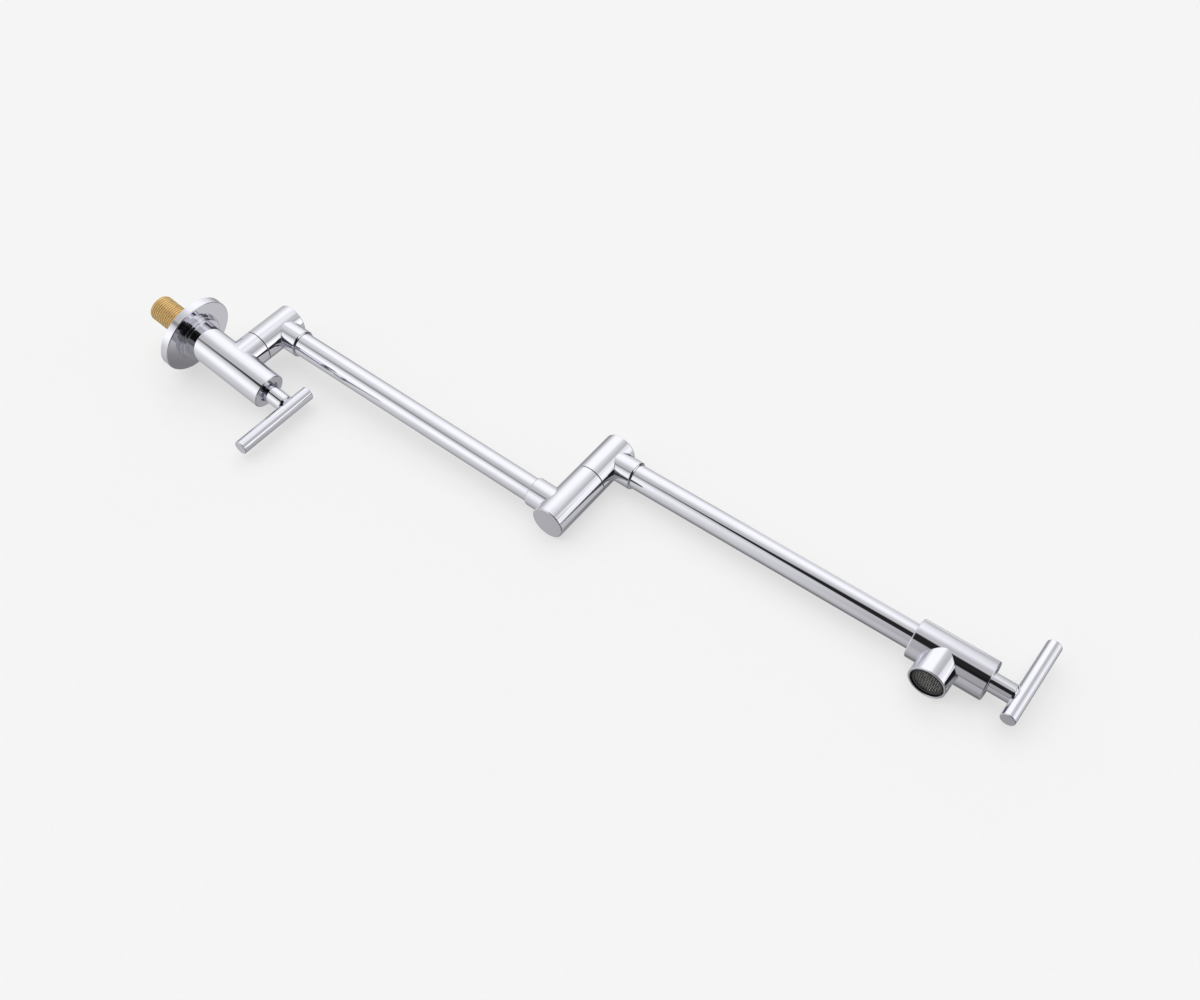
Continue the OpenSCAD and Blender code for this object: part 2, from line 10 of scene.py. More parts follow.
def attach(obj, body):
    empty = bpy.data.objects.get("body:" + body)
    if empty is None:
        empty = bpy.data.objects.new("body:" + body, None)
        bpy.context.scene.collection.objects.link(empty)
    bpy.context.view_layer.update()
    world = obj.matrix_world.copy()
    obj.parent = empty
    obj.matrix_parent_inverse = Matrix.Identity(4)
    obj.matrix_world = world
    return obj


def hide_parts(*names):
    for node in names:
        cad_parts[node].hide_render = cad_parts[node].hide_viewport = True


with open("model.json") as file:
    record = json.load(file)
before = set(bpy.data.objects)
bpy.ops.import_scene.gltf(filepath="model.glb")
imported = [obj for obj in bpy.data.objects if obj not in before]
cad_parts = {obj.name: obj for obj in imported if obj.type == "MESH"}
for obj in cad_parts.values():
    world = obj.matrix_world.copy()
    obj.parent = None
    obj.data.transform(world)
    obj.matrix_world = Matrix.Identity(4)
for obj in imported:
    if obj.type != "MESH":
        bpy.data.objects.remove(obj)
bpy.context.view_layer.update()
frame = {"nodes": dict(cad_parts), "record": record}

# Millimetres, as in the part's source, until a mesh is made
MM = 0.001
TAU = 2 * math.pi

# Sizes of the metal parts, named as in the part's source
THREAD_D, THREAD_REACH, THREAD_PITCH, THREAD_DEPTH = 21.2, 34.7, 1.814, 0.9
INLET_BORE_D, SHANK_D, SHANK_REACH = 13, 19, 22
FLANGE_D, FLANGE_H, FLANGE_WALL, FLANGE_RIM = 63, 6.7, 2.5, 6
COLLAR_D, COLLAR_STEP_D, COLLAR_LOW_H, COLLAR_H = 39.2, 36.8, 2.3, 4.8
BODY_D, BODY_REACH, BODY_EDGE = 29.2, 82.5, 0.9
TAIL_D, TAIL_START, CHAMBER_D = 24.8, 2, 14
SWIVEL_REACH, SWIVEL_D, SEAM_Z = 45.7, 26.4, 24.6
ARM_RISE, HEAD_RISE, MID_RISE, MID_DROP, MID_FLOOR = 24.2, 14.7, 33.2, 16.8, 4
SPIGOT_D, SPIGOT_DEPTH, GUIDE_H, HEAD_BORE_D, MID_BORE_D = 17, 14, 12.5, 21, 16.6
CAP_D, CAP_T, SEAM_WASHER_T = 22, 3.5, 0.5
ARM_1_SPAN, ARM_2_SPAN, ARM_1_TURN, ARM_2_TURN = 282, 279.2, -8.8, -2.3
TUBE_D, TUBE_WALL, SOCKET_D, SOCKET_REACH, SOCKET_DEPTH = 19, 1.4, 22.3, 25.7, 12
SOCKET_EDGE, NOZZLE_EDGE, RIM_EDGE = 1.4, 0.6, 0.3
SPOUT_FRONT, SPOUT_BACK, NOZZLE_D, NOZZLE_DROP = 33.2, 23.3, 27.8, 27.2
MOUTH_D, MOUTH_DEPTH, OUTLET_D, OUTLET_DEPTH = 24.6, 13.6, 14, 4
AERATOR_INSET, AERATOR_LIP_D, AERATOR_LIP_H, AERATOR_BORE_D = 0.9, 21.8, 2.4, 20.4
AERATOR_LEDGE, AERATOR_LEDGE_T, WASHER_T, SCREEN_T = 0.7, 0.5, 1.6, 0.5
RECESS_D, RECESS_DEPTH, CARTRIDGE_D, SEAT_DEPTH, SEAT_WALL, PORT_D = 17.3, 3.6, 15.6, 43, 2.5, 9
NECK_D, NECK_INSET, NECK_SHORT, NECK_NOSE, BAR_REACH = 14.2, 0.6, 3.2, 2.4, 21.4
BAR_D, BAR_LONG, BAR_SHORT, BAR_EDGE = 11.2, 51.4, 19.7, 0.6
STEM_REACH, STEM_END_D, TENON_D, TENON_PAST = 10, 6.4, 5, 2
SCREW_D, SCREW_OUT = 4, 5.5
RUN_GAP, FIX_GAP = 0.06, 0.05

# Roundings and fillets that are left to this file
SEAM_EDGE, CAP_HOLE_EDGE, RECESS_EDGE, LEDGE_EDGE = 0.25, 0.15, 0.2, 0.15
FLANGE_EDGE, FLANGE_FOOT_EDGE = 0.7, 0.2
COLLAR_EDGE, COLLAR_FOOT_EDGE, COLLAR_INNER_EDGE = 0.6, 0.15, 0.1
BRANCH_FILLET, SOCKET_FILLET, NOZZLE_FILLET = 0.9, 0.5, 0.45

ARM_1_Z = SEAM_Z + ARM_RISE
SEAM_2_Z = ARM_1_Z + MID_RISE
ARM_2_Z = SEAM_2_Z + ARM_RISE
HEAD_H = ARM_RISE + HEAD_RISE
BODY_Z = FLANGE_H + COLLAR_H + 2 * FIX_GAP

# Segments round the end of a body, four times as many round a branch, and round the flange and collar
ROUND, FLANGE_ROUND, COLLAR_ROUND = 72, 144, 96
# Steps over a rounded corner of a profile
ARC_STEPS = 6
# Rows of points: across a fillet and up a branch, down a drilled hole, and from a hole's edge over the
# side of a body with a branch or of a drilled one, crowding towards the hole
FILLET_ROWS, WALL_ROWS, BRANCHED_ROWS, DRILLED_ROWS, CROWDING = 9, 5, 44, 24, 1.25
# A corner whose turn has a larger cosine isn't rounded, and points that agree to so many digits are one
STRAIGHT, WELD_DIGITS = 0.9999, 4


class Place:
    """A frame on the part: an origin and three axes at right angles, in millimetres."""

    def __init__(self, origin, x, y, z):
        self.origin = np.array(origin, float)
        self.axes = np.array([x, y, z], float)

    def at(self, x=0.0, y=0.0, z=0.0):
        """The same axes from a point inside this frame."""
        return Place(self.origin + np.array([x, y, z]) @ self.axes, *self.axes)

    def turned(self, about, degrees):
        """This frame turned about one of its own axes, 0 to 2, by the right hand rule."""
        a, b = (about + 1) % 3, (about + 2) % 3
        c, s = math.cos(math.radians(degrees)), math.sin(math.radians(degrees))
        axes = self.axes.copy()
        axes[a] = c * self.axes[a] + s * self.axes[b]
        axes[b] = c * self.axes[b] - s * self.axes[a]
        return Place(self.origin, *axes)

    def swapped(self, x, y, z):
        """This frame with its axes renamed. Each name is a number from 1 to 3, negative for the
        opposite way."""
        pick = lambda n: math.copysign(1, n) * self.axes[abs(n) - 1]
        return Place(self.origin, pick(x), pick(y), pick(z))


def outline(corners):
    """Points and normals of a profile of (radius, height, rounding) corners.

    Each rounded corner becomes a circle's arc that touches both sides. The normal of a side is the side
    turned right by a quarter, and over an arc it turns evenly from one side's to the next one's.
    Where a corner has no rounding, the profile starts a new run. Returns the runs, as rows of
    radius, height, normal's radius and normal's height."""
    pts = np.array([c[:2] for c in corners], float)
    rounding = [c[2] if len(c) > 2 else 0.0 for c in corners]
    side = np.diff(pts, axis=0)
    length = np.hypot(*side.T)
    side = side / length[:, None]
    normal = np.stack([side[:, 1], -side[:, 0]], 1)
    runs, run = [], [np.r_[pts[0], normal[0]]]
    for i in range(1, len(pts) - 1):
        cos_turn = np.clip(side[i - 1] @ side[i], -1, 1)
        if rounding[i] > 0 and cos_turn < STRAIGHT:
            turn = math.acos(cos_turn)
            cut = rounding[i] * math.tan(turn / 2)
            start, end = pts[i] - side[i - 1] * cut, pts[i] + side[i] * cut
            left = side[i - 1][0] * side[i][1] - side[i - 1][1] * side[i][0] > 0
            centre = start + (-1 if left else 1) * rounding[i] * normal[i - 1]
            for t in np.linspace(0, turn, ARC_STEPS + 1):
                w = t if left else -t
                c, s = math.cos(w), math.sin(w)
                n = np.array([c * normal[i - 1][0] - s * normal[i - 1][1],
                              s * normal[i - 1][0] + c * normal[i - 1][1]])
                p = centre + (1 if left else -1) * rounding[i] * n
                run.append(np.r_[p, n])
            run[-1][:2] = end
        else:
            run.append(np.r_[pts[i], normal[i - 1]])
            runs.append(np.array(run))
            run = [np.r_[pts[i], normal[i]]]
    run.append(np.r_[pts[-1], normal[-1]])
    runs.append(np.array(run))
    return runs


class Shell:
    """Grids of points and outward normals that are welded into one closed mesh."""

    def __init__(self):
        self.points, self.normals, self.quads = [], [], []
        self.count = 0

    def grid(self, points, normals):
        """Adds a grid of (rows, columns) points. Each face is turned to agree with its normals."""
        points, normals = np.asarray(points, float), np.asarray(normals, float)
        rows, columns = points.shape[:2]
        index = np.arange(rows * columns).reshape(rows, columns) + self.count
        quads = np.stack([index[:-1, :-1], index[:-1, 1:], index[1:, 1:], index[1:, :-1]], -1).reshape(-1, 4)
        p, n = points.reshape(-1, 3), normals.reshape(-1, 3)
        corner = p[quads - self.count]
        face = np.cross(corner[:, 2] - corner[:, 0], corner[:, 3] - corner[:, 1])
        wrong = (face * n[quads - self.count].sum(1)).sum(1) < 0
        quads[wrong] = quads[wrong][:, ::-1]
        self.points.append(p)
        self.normals.append(n)
        self.quads.append(quads)
        self.count += len(p)

    def lathe(self, place, corners, angles):
        """Turns a profile about the frame's z axis: x and y are the radius times cosine and sine."""
        c, s = np.cos(angles), np.sin(angles)
        for run in outline(corners):
            r, h, nr, nh = (run[:, k][:, None] for k in range(4))
            one = np.ones_like(c)[None, :]
            self.grid(np.stack([r * c, r * s, h * one], -1) @ place.axes + place.origin,
                      np.stack([nr * c, nr * s, nh * one], -1) @ place.axes)

    def branch(self, place, main_r, low, high, branch_r, reach, blend):
        """A cylinder along the frame's y axis with a smaller one that leaves it along z.

        A ball of the blend's radius rolls in the corner between them. Its centre is at
        x = (branch_r + blend) cos t, y = (branch_r + blend) sin t and z = sqrt((main_r + blend)^2 - x^2),
        so it touches the cylinders straight towards their axes, and between these two lines the ball's
        surface is the fillet. Returns the angles of the main ends and of the branch."""
        k = ROUND
        i = np.arange(4 * k + 1)
        t = TAU * i / (4 * k) - math.pi / 4
        x, y = (branch_r + blend) * np.cos(t), (branch_r + blend) * np.sin(t)
        z = np.sqrt((main_r + blend) ** 2 - x ** 2)
        centre = np.stack([x, y, z], -1)
        n_main = np.stack([x, 0 * x, z], -1) / (main_r + blend)
        n_branch = np.stack([np.cos(t), np.sin(t), 0 * t], -1)
        move = lambda p: p @ place.axes + place.origin
        turn = lambda n: n @ place.axes
        w = np.linspace(0, 1, FILLET_ROWS)[:, None, None]
        angle = np.arccos(np.clip((n_main * n_branch).sum(-1), -1, 1))[None, :, None]
        arc = (np.sin((1 - w) * angle) * n_main + np.sin(w * angle) * n_branch) / np.sin(angle)
        self.grid(move(centre - blend * arc), turn(arc))
        h = np.linspace(0, 1, FILLET_ROWS)[:, None]
        tall = z + (reach - z) * h
        ones = np.ones_like(tall)
        self.grid(move(np.stack([branch_r * np.cos(t) * ones, branch_r * np.sin(t) * ones, tall], -1)),
                  turn(n_branch[None] * ones[..., None]))
        self.unrolled(place, main_r, low, high, np.stack([np.arctan2(x, z), y], -1), BRANCHED_ROWS)
        return -np.pi + TAU * np.arange(k + 1) / k, t

    def unrolled(self, place, main_r, low, high, hole, rows):
        """The side of a cylinder along y, less a hole given as angles from z to x and heights.

        The side is unrolled to a rectangle, and rays from the hole's edge to the rectangle's rim make
        its grid."""
        move = lambda p: p @ place.axes + place.origin
        turn = lambda n: n @ place.axes
        k = ROUND
        i = np.arange(4 * k + 1)
        side, step = i // k, (i % k) / k
        side, step = np.where(i == 4 * k, 3, side), np.where(i == 4 * k, 1.0, step)
        rim_u = np.choose(side, [np.pi + 0 * step, np.pi - TAU * step,
                                 -np.pi + 0 * step, -np.pi + TAU * step])
        rim_v = np.choose(side, [low + (high - low) * step, high + 0 * step,
                                 high - (high - low) * step, low + 0 * step])
        rim = np.stack([rim_u, rim_v], -1)
        s = (np.linspace(0, 1, rows) ** CROWDING)[:, None, None]
        flat = hole[None] * (1 - s) + rim[None] * s
        n = np.stack([np.sin(flat[..., 0]), 0 * flat[..., 0], np.cos(flat[..., 0])], -1)
        p = n * main_r
        p[..., 1] = flat[..., 1]
        self.grid(move(p), turn(n))

    def drilled(self, place, main_r, low, high, hole_r, floor):
        """The side of a cylinder along y with a hole drilled into it along z, down to a flat floor.

        The hole's edge is x = hole_r cos t, y = hole_r sin t and z = sqrt(main_r^2 - x^2), and its wall
        runs straight down from there."""
        t = TAU * np.arange(4 * ROUND + 1) / (4 * ROUND) - math.pi / 4
        x, y = hole_r * np.cos(t), hole_r * np.sin(t)
        z = np.sqrt(main_r ** 2 - x ** 2)
        self.unrolled(place, main_r, low, high, np.stack([np.arctan2(x, z), y], -1), DRILLED_ROWS)
        share = np.linspace(0, 1, WALL_ROWS)[:, None]
        tall = z + (floor - z) * share
        ones = np.ones_like(tall)
        wall = np.stack([-np.cos(t) * ones, -np.sin(t) * ones, 0 * tall], -1)
        self.grid(np.stack([x * ones, y * ones, tall], -1) @ place.axes + place.origin, wall @ place.axes)
        flat = np.stack([x * (1 - share), y * (1 - share), floor * ones], -1)
        self.grid(flat @ place.axes + place.origin, np.broadcast_to(place.axes[2], flat.shape))
        return -np.pi + TAU * np.arange(ROUND + 1) / ROUND

    def make(self, name, body, slot, material, node):
        """Welds points that lie on each other, makes the mesh with its own normals, and puts the piece
        on its body in the node's stead."""
        p, n, quads = np.concatenate(self.points), np.concatenate(self.normals), np.concatenate(self.quads)
        _, first, same = np.unique(np.round(p, WELD_DIGITS), axis=0, return_index=True, return_inverse=True)
        same = same.reshape(-1)
        welded = same[quads]
        # A quad with two corners at one point becomes a triangle, and a thinner one is left out
        repeat = welded == np.roll(welded, -1, axis=1)
        whole, three = ~repeat.any(1), repeat.sum(1) == 1
        faces = [(welded[whole], quads[whole])]
        if three.any():
            keep = ~repeat[three]
            faces.append((welded[three][keep].reshape(-1, 3), quads[three][keep].reshape(-1, 3)))
        mesh = bpy.data.meshes.new(name)
        loops = np.concatenate([f[0].reshape(-1) for f in faces]).astype(np.int32)
        total = np.concatenate([np.full(len(f[0]), f[0].shape[1]) for f in faces]).astype(np.int32)
        mesh.vertices.add(len(first))
        mesh.vertices.foreach_set("co", (p[first] * MM).astype(np.float32).reshape(-1))
        mesh.loops.add(len(loops))
        mesh.loops.foreach_set("vertex_index", loops)
        mesh.polygons.add(len(total))
        mesh.polygons.foreach_set("loop_start", (np.cumsum(total) - total).astype(np.int32))
        mesh.polygons.foreach_set("use_smooth", np.ones(len(total), bool))
        mesh.update(calc_edges=True)
        corner = np.concatenate([n[f[1]].reshape(-1, 3) for f in faces])
        corner /= np.linalg.norm(corner, axis=1)[:, None]
        mesh.normals_split_custom_set(corner.tolist())
        obj = bpy.data.objects.new(name, mesh)
        bpy.context.scene.collection.objects.link(obj)
        mesh.materials.append(material)
        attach(obj, body)
        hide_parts(node)


class Value:
    """An output of a node. Arithmetic on it adds Math nodes."""

    def __init__(self, nodes, socket):
        self.nodes, self.socket = nodes, socket

    def _math(self, operation, *values):
        """Adds a Math node on these values, in order."""
        return self.nodes.node("ShaderNodeMath", {"operation": operation}, *values)

    def degrees_of_sine(self):
        """The angle, from -90 to 90, whose sine is this value."""
        return self._math("DEGREES", self._math("ARCSINE", self))

    def degrees_over(self, other):
        """The angle, from -180 to 180, whose sine and cosine go as this value and the other one."""
        return self._math("DEGREES", self._math("ARCTAN2", self, other))

    def whole_turn(self):
        """The same angle in degrees, from 0 to 360."""
        return self._math("FLOORED_MODULO", self, 360.0)

    def __add__(self, other):
        return self._math("ADD", self, other)

    def __sub__(self, other):
        return self._math("SUBTRACT", self, other)

    def __rsub__(self, other):
        return self._math("SUBTRACT", other, self)

    def __mul__(self, other):
        return self._math("MULTIPLY", self, other)

    def smooth(self, low, high):
        """0 below low, 1 above high and a smooth step between them."""
        return self.nodes.node("ShaderNodeMapRange", {"interpolation_type": "SMOOTHSTEP"},
                               self, low, high, 0.0, 1.0)

    __radd__, __rmul__ = __add__, __mul__


class Nodes:
    """The nodes of a material or of the world, added one by one."""

    def __init__(self, owner):
        owner.use_nodes = True
        self.tree = owner.node_tree
        self.tree.nodes.clear()

    def node(self, kind, settings, *values, output=0, **named):
        """Adds a node of that kind. Values go to its inputs in order, and named ones by name."""
        made = self.tree.nodes.new(kind)
        for key, value in settings.items():
            setattr(made, key, value)
        inputs = [(made.inputs[i], v) for i, v in enumerate(values)]
        inputs += [(made.inputs[k.replace("_", " ")], v) for k, v in named.items()]
        for socket, value in inputs:
            if isinstance(value, Value):
                self.tree.links.new(value.socket, socket)
            elif value is not None:
                socket.default_value = value
        return Value(self, made.outputs[output]) if made.outputs else None

    def mix(self, factor, a, b):
        """Colour a where the factor is 0, and b where it is 1."""
        made = self.tree.nodes.new("ShaderNodeMix")
        made.data_type = "RGBA"
        for socket, value in zip((made.inputs[0], made.inputs[6], made.inputs[7]), (factor, a, b)):
            if isinstance(value, Value):
                self.tree.links.new(value.socket, socket)
            else:
                socket.default_value = value if socket is made.inputs[0] else (*value, 1)
        return Value(self, made.outputs[2])


class Finish(Nodes):
    """A material, built node by node and ended by its shader."""

    def __init__(self, name):
        self.material = bpy.data.materials.new(name)
        super().__init__(self.material)
        self.place = self.node("ShaderNodeTexCoord", {}, output="Object")

    def noise(self, scale, detail=3.0, stretch=(1, 1, 1)):
        """Noise from 0 to 1 on the object's own coordinates, in features per metre along each axis."""
        where = self.node("ShaderNodeMapping", {}, self.place, Scale=tuple(scale * s for s in stretch))
        return self.node("ShaderNodeTexNoise", {}, where, Scale=1.0, Detail=detail)

    def bump(self, height, distance):
        """A normal tipped by that height, whose full range is the distance in metres."""
        return self.node("ShaderNodeBump", {}, output="Normal", Strength=1.0, Distance=distance,
                         Height=height)

    def end(self, **sockets):
        """Ends in a Principled shader with these sockets, and returns the material."""
        colour = sockets.pop("Base_Color", None)
        if isinstance(colour, tuple):
            colour = (*colour, 1)
        shader = self.node("ShaderNodeBsdfPrincipled", {}, Base_Color=colour, **sockets)
        self.node("ShaderNodeOutputMaterial", {}, shader)
        return self.material


def chrome_finish():
    """Bright chrome plate: faint polishing marks, wiped smears and a trace of unevenness."""
    f = Finish("bright_chrome")
    # Smears some two centimetres wide, and millimetre marks four times as long up the part
    smear = f.noise(42, 4.0).smooth(0.48, 0.72)
    marks = f.noise(900, 2.0, (1, 1, 0.25)).smooth(0.35, 0.85)
    tint = f.mix(smear, (0.82, 0.82, 0.885), (0.79, 0.79, 0.855))
    return f.end(Base_Color=tint, Metallic=1.0, Roughness=0.01 + 0.02 * smear + 0.012 * marks,
                 Normal=f.bump(f.noise(120, 1.0), 0.0000025))


def brass_finish():
    """Bare turned brass, dulled in patches, with painted shade that darkens it down in the thread's grooves.
    """
    f = Finish("bare_brass")
    # Patches some four millimetres wide, and turned lines that are finer than the ridges
    dull = f.noise(260, 3.0).smooth(0.5, 0.8)
    rings = f.noise(2600, 2.0, (0.06, 1, 0.06))
    across = f.node("ShaderNodeVectorMath", {"operation": "MULTIPLY"}, f.place, (1, 0, 1))
    radius = f.node("ShaderNodeVectorMath", {"operation": "LENGTH"}, across, output="Value")
    # Painted shade: the colour darkens from the crests down to the thread's root, where shade falls in the
    # grooves
    root = (THREAD_D / 2 - THREAD_DEPTH) * MM
    crest = radius.smooth(root - 0.1 * MM, root + 0.9 * MM)
    colour = f.mix(dull, (1.0, 0.77, 0.39), (0.95, 0.70, 0.33))
    colour = f.mix(crest, (0.68, 0.44, 0.17), colour)
    return f.end(Base_Color=colour, Metallic=0.6, Roughness=0.36 + 0.06 * dull + 0.04 * rings,
                 Normal=f.bump(rings, 0.000001))


def rubber_finish():
    """Black moulded rubber with a dusty grain."""
    f = Finish("black_rubber")
    grain = f.noise(1800, 3.0)
    dust = f.noise(120, 3.0).smooth(0.5, 0.8)
    return f.end(Base_Color=f.mix(dust, (0.018, 0.018, 0.02), (0.05, 0.05, 0.052)),
                 Roughness=0.55 + 0.25 * grain, Normal=f.bump(grain, 0.00004))


def plastic_finish(name, light, dark, rough):
    """Moulded plastic with a fine grain and a slight change of tone."""
    f = Finish(name)
    grain = f.noise(1500, 2.0)
    tone = f.noise(90, 2.0).smooth(0.3, 0.7)
    return f.end(Base_Color=f.mix(tone, light, dark), Roughness=rough + 0.15 * grain,
                 Normal=f.bump(grain, 0.00002))


def steel_finish(name, light, dark):
    """Plain steel with drawn lines along it and darker patches."""
    f = Finish(name)
    lines = f.noise(1400, 2.0, (1, 1, 0.1))
    tone = f.noise(200, 3.0).smooth(0.35, 0.7)
    return f.end(Base_Color=f.mix(tone, light, dark), Metallic=1.0, Roughness=0.28 + 0.2 * lines,
                 Normal=f.bump(lines, 0.00002))


CHROME = chrome_finish()
BRASS = brass_finish()
RUBBER = rubber_finish()
DARK_PLASTIC = plastic_finish("dark_plastic", (0.045, 0.045, 0.048), (0.03, 0.03, 0.033), 0.32)
PLUG = plastic_finish("black_plug_plastic", (0.028, 0.028, 0.03), (0.018, 0.018, 0.02), 0.5)
CERAMIC = plastic_finish("white_ceramic", (0.88, 0.87, 0.84), (0.82, 0.81, 0.78), 0.12)
SPRING = steel_finish("spring_steel", (0.5, 0.5, 0.52), (0.33, 0.33, 0.35))
SCREEN = steel_finish("screen_steel", (0.84, 0.83, 0.79), (0.66, 0.65, 0.61))

# Frames on the part: WALL looks out along -Y, ARM_1 and ARM_2 have their y axis along the arm and z up
WORLD = Place((0, 0, 0), (1, 0, 0), (0, 1, 0), (0, 0, 1))
WALL = Place((0, 0, 0), (1, 0, 0), (0, 0, 1), (0, -1, 0))
ARM_1 = WORLD.at(0, -SWIVEL_REACH, 0).turned(2, ARM_1_TURN)
ARM_2 = ARM_1.at(0, -ARM_1_SPAN, 0).turned(2, ARM_2_TURN)


def along(place):
    """A frame at the same origin with z along the arm, that is along -y, and y up."""
    return place.swapped(1, 3, -2)


def nipple():
    """Pipe thread: on the strip for one turn, radius is the root's plus the depth times a rounded
    trapezoid of the share of the pitch, and height grows by one pitch for a full angle. Both ends
    fade to the root's radius and are cut off square."""
    shell = Shell()
    # Shares of half a pitch for the crest's flat and for a flank, and the height over which it starts
    flat, flank, start = 0.22, 0.5, 0.6
    per, turns = 10, int(THREAD_REACH / THREAD_PITCH) + 2
    angle = np.linspace(0, TAU, 2 * ROUND + 1)
    row = np.arange(-per, per * turns + 1)[:, None]
    lift = (row / per + angle[None, :] / TAU) * THREAD_PITCH
    height = np.clip(lift, 0, THREAD_REACH)
    share = np.abs((row / per) % 1.0 - 0.5) * 2
    crest = 1 - np.clip((share - flat) / flank, 0, 1)
    crest = crest * crest * (3 - 2 * crest)
    fade = np.clip(np.minimum(height / start, (THREAD_REACH - height) / THREAD_PITCH), 0, 1)
    depth = THREAD_DEPTH * crest * fade
    r = THREAD_D / 2 - THREAD_DEPTH + depth
    slope = np.gradient(depth, axis=0) / (THREAD_PITCH / per)
    c, s = np.cos(angle)[None, :], np.sin(angle)[None, :]
    n = np.stack([c + 0 * slope, -slope, s + 0 * slope], -1)
    shell.grid(np.stack([r * c, height, r * s], -1), n)
    root, bore = THREAD_D / 2 - THREAD_DEPTH, INLET_BORE_D / 2
    corners = [(root, THREAD_REACH), (bore, THREAD_REACH), (bore, -SHANK_REACH), (SHANK_D / 2, -SHANK_REACH),
               (SHANK_D / 2, 0), (root, 0)]
    shell.lathe(Place((0, 0, 0), (1, 0, 0), (0, 0, 1), (0, 1, 0)), corners, angle)
    return shell


def ring_of(place, corners, segments=ROUND):
    """A closed profile turned about the frame's z axis."""
    shell = Shell()
    shell.lathe(place, corners, np.linspace(0, TAU, segments + 1))
    return shell


def flange():
    """The round wall flange: a thin front wall, and a rim round its hollow back."""
    bore, hollow, inner = TAIL_D / 2 + FIX_GAP, FLANGE_D / 2 - FLANGE_RIM, FLANGE_H - FLANGE_WALL
    return ring_of(WALL, [(bore, inner), (hollow, inner), (hollow, 0), (FLANGE_D / 2, 0, FLANGE_FOOT_EDGE),
                          (FLANGE_D / 2, FLANGE_H, FLANGE_EDGE), (bore, FLANGE_H), (bore, inner)],
                   FLANGE_ROUND)


def collar():
    """The ring of two steps in front of the flange."""
    bore, foot = TAIL_D / 2 + FIX_GAP, FLANGE_H + FIX_GAP
    step, top = foot + COLLAR_LOW_H, foot + COLLAR_H
    return ring_of(WALL, [(bore, foot), (COLLAR_D / 2, foot, COLLAR_FOOT_EDGE),
                          (COLLAR_D / 2, step, COLLAR_EDGE), (COLLAR_STEP_D / 2, step, COLLAR_INNER_EDGE),
                          (COLLAR_STEP_D / 2, top, COLLAR_EDGE), (bore, top), (bore, foot)], COLLAR_ROUND)


def valve_end(front, deeper):
    """Corners from the rim of a valve's front face, at height front, into the cavity for its cartridge,
    and on over the deeper ones."""
    recess, bore, seat = front - RECESS_DEPTH, CARTRIDGE_D / 2 + FIX_GAP, front - SEAT_DEPTH
    return [(BODY_D / 2, front, BODY_EDGE), (RECESS_D / 2, front, RECESS_EDGE), (RECESS_D / 2, recess),
            (bore, recess), (bore, seat), (PORT_D / 2, seat), (PORT_D / 2, seat - SEAT_WALL)] + deeper


def valve_body():
    """The wall valve: a body along the inlet axis with the branch for the first swivel joint."""
    shell = Shell()
    place = WORLD.at(0, -SWIVEL_REACH, 0).swapped(-1, -2, 3)
    front, back = BODY_REACH - SWIVEL_REACH, BODY_Z - SWIVEL_REACH
    ends, around = shell.branch(place, BODY_D / 2, back, front - BODY_EDGE, SWIVEL_D / 2,
                                SEAM_Z - SEAM_EDGE, BRANCH_FILLET)
    shank, tail = SHANK_REACH + FIX_GAP - SWIVEL_REACH, TAIL_START - SWIVEL_REACH
    deep = [(CHAMBER_D / 2, front - SEAT_DEPTH - SEAT_WALL), (CHAMBER_D / 2, shank),
            (SHANK_D / 2 + FIX_GAP, shank), (SHANK_D / 2 + FIX_GAP, tail), (TAIL_D / 2, tail),
            (TAIL_D / 2, back), (BODY_D / 2, back)]
    # The main end's angles run from z towards x, so z and x are the lathe's first two axes
    shell.lathe(place.swapped(3, 1, 2), [(BODY_D / 2, front - BODY_EDGE)] + valve_end(front, deep), ends)
    bore = SPIGOT_D / 2 + FIX_GAP
    shell.lathe(place, [(SWIVEL_D / 2, SEAM_Z - SEAM_EDGE), (SWIVEL_D / 2, SEAM_Z, SEAM_EDGE),
                        (bore, SEAM_Z), (bore, SEAM_Z - SPIGOT_DEPTH), (0, SEAM_Z - SPIGOT_DEPTH)], around)
    return shell


def socket_end(shell, place, around):
    """The mouth of a tube socket, from its rim to the tube's stop."""
    bore, stop = TUBE_D / 2 + FIX_GAP, SOCKET_REACH - SOCKET_DEPTH
    shell.lathe(place, [(SOCKET_D / 2, SOCKET_REACH - SOCKET_EDGE),
                        (SOCKET_D / 2, SOCKET_REACH, SOCKET_EDGE), (bore, SOCKET_REACH), (bore, stop),
                        (0, stop)], around)


def joint_head(place, seam):
    """Upper half of a swivel joint, with its tube socket along the arm."""
    shell = Shell()
    at = place.at(0, 0, seam + ARM_RISE)
    low, high = SEAM_WASHER_T + FIX_GAP - ARM_RISE, HEAD_RISE
    # The branch leaves along -y of the arm, and the joint's own axis is z
    local = at.swapped(-1, 3, -2)
    ends, around = shell.branch(local, SWIVEL_D / 2, low + SEAM_EDGE, high - BODY_EDGE, SOCKET_D / 2,
                                SOCKET_REACH - SOCKET_EDGE, SOCKET_FILLET)
    guide, bore = GUIDE_H - ARM_RISE, SPIGOT_D / 2 + RUN_GAP
    shell.lathe(local.swapped(3, 1, 2), [
        (SWIVEL_D / 2, high - BODY_EDGE), (SWIVEL_D / 2, high, BODY_EDGE), (CAP_D / 2, high, CAP_HOLE_EDGE),
        (CAP_D / 2, high - CAP_T), (HEAD_BORE_D / 2, high - CAP_T), (HEAD_BORE_D / 2, guide), (bore, guide),
        (bore, low), (SWIVEL_D / 2, low, SEAM_EDGE), (SWIVEL_D / 2, low + SEAM_EDGE)], ends)
    socket_end(shell, local, around)
    return shell


